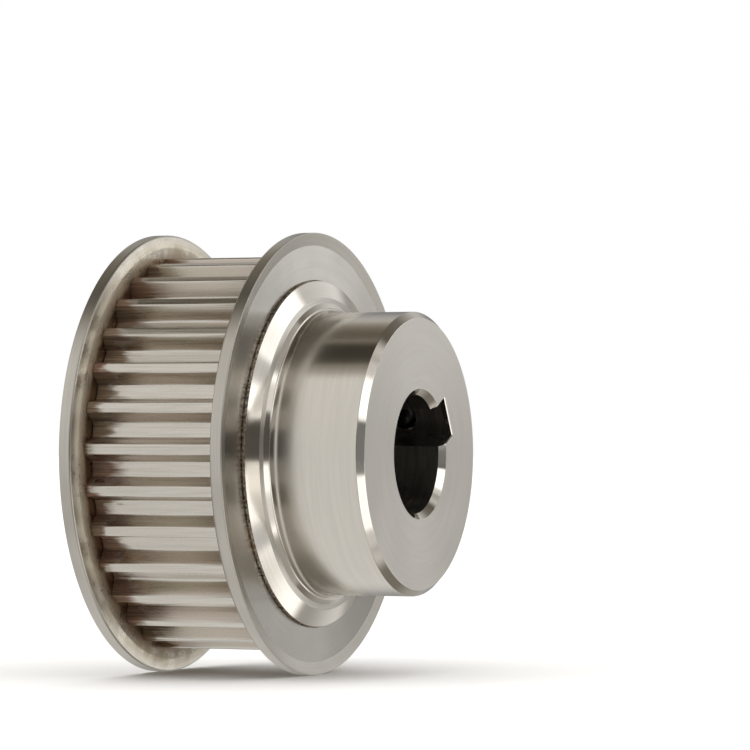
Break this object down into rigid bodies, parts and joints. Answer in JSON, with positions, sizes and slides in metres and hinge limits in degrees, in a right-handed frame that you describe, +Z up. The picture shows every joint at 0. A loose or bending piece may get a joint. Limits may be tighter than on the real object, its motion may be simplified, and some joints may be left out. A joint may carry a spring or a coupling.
{
  "type": "timing belt pulley",
  "caption": "Flanged timing belt pulley with trapezoidal teeth, a long plain hub, a keyed bore and two radial set screws.",
  "frame": {"origin": "on the bore axis, midway between the two flanges' inner faces", "axes": "+X along the bore axis towards the hub end, +Z up, and the keyway 28 degrees from +Y towards +Z"},
  "size_m": [0.0342, 0.0524, 0.0524],
  "materials": {
    "machined_steel": "bright turned steel, lightly stained at the tooth ends",
    "flange_steel": "bright turned plate with a polished rim",
    "screw_steel": "black oxide"
  },
  "bodies": {
    "pulley": {"pulley_body": "machined_steel", "hub_side_flange": "flange_steel", "far_side_flange": "flange_steel"},
    "key_screw": {"key_set_screw": "screw_steel"},
    "quarter_turn_screw": {"quarter_turn_set_screw": "screw_steel"}
  },
  "joints": [
    {"name": "key_screw_travel", "type": "slide", "parent": "pulley", "child": "key_screw", "axis": [0, 0.8829, 0.4695], "range_m": [-0.0008, 0.0064]},
    {"name": "quarter_turn_screw_travel", "type": "slide", "parent": "pulley", "child": "quarter_turn_screw", "axis": [0, 0.4695, -0.8829], "range_m": [-0.0008, 0.008]}
  ]
}
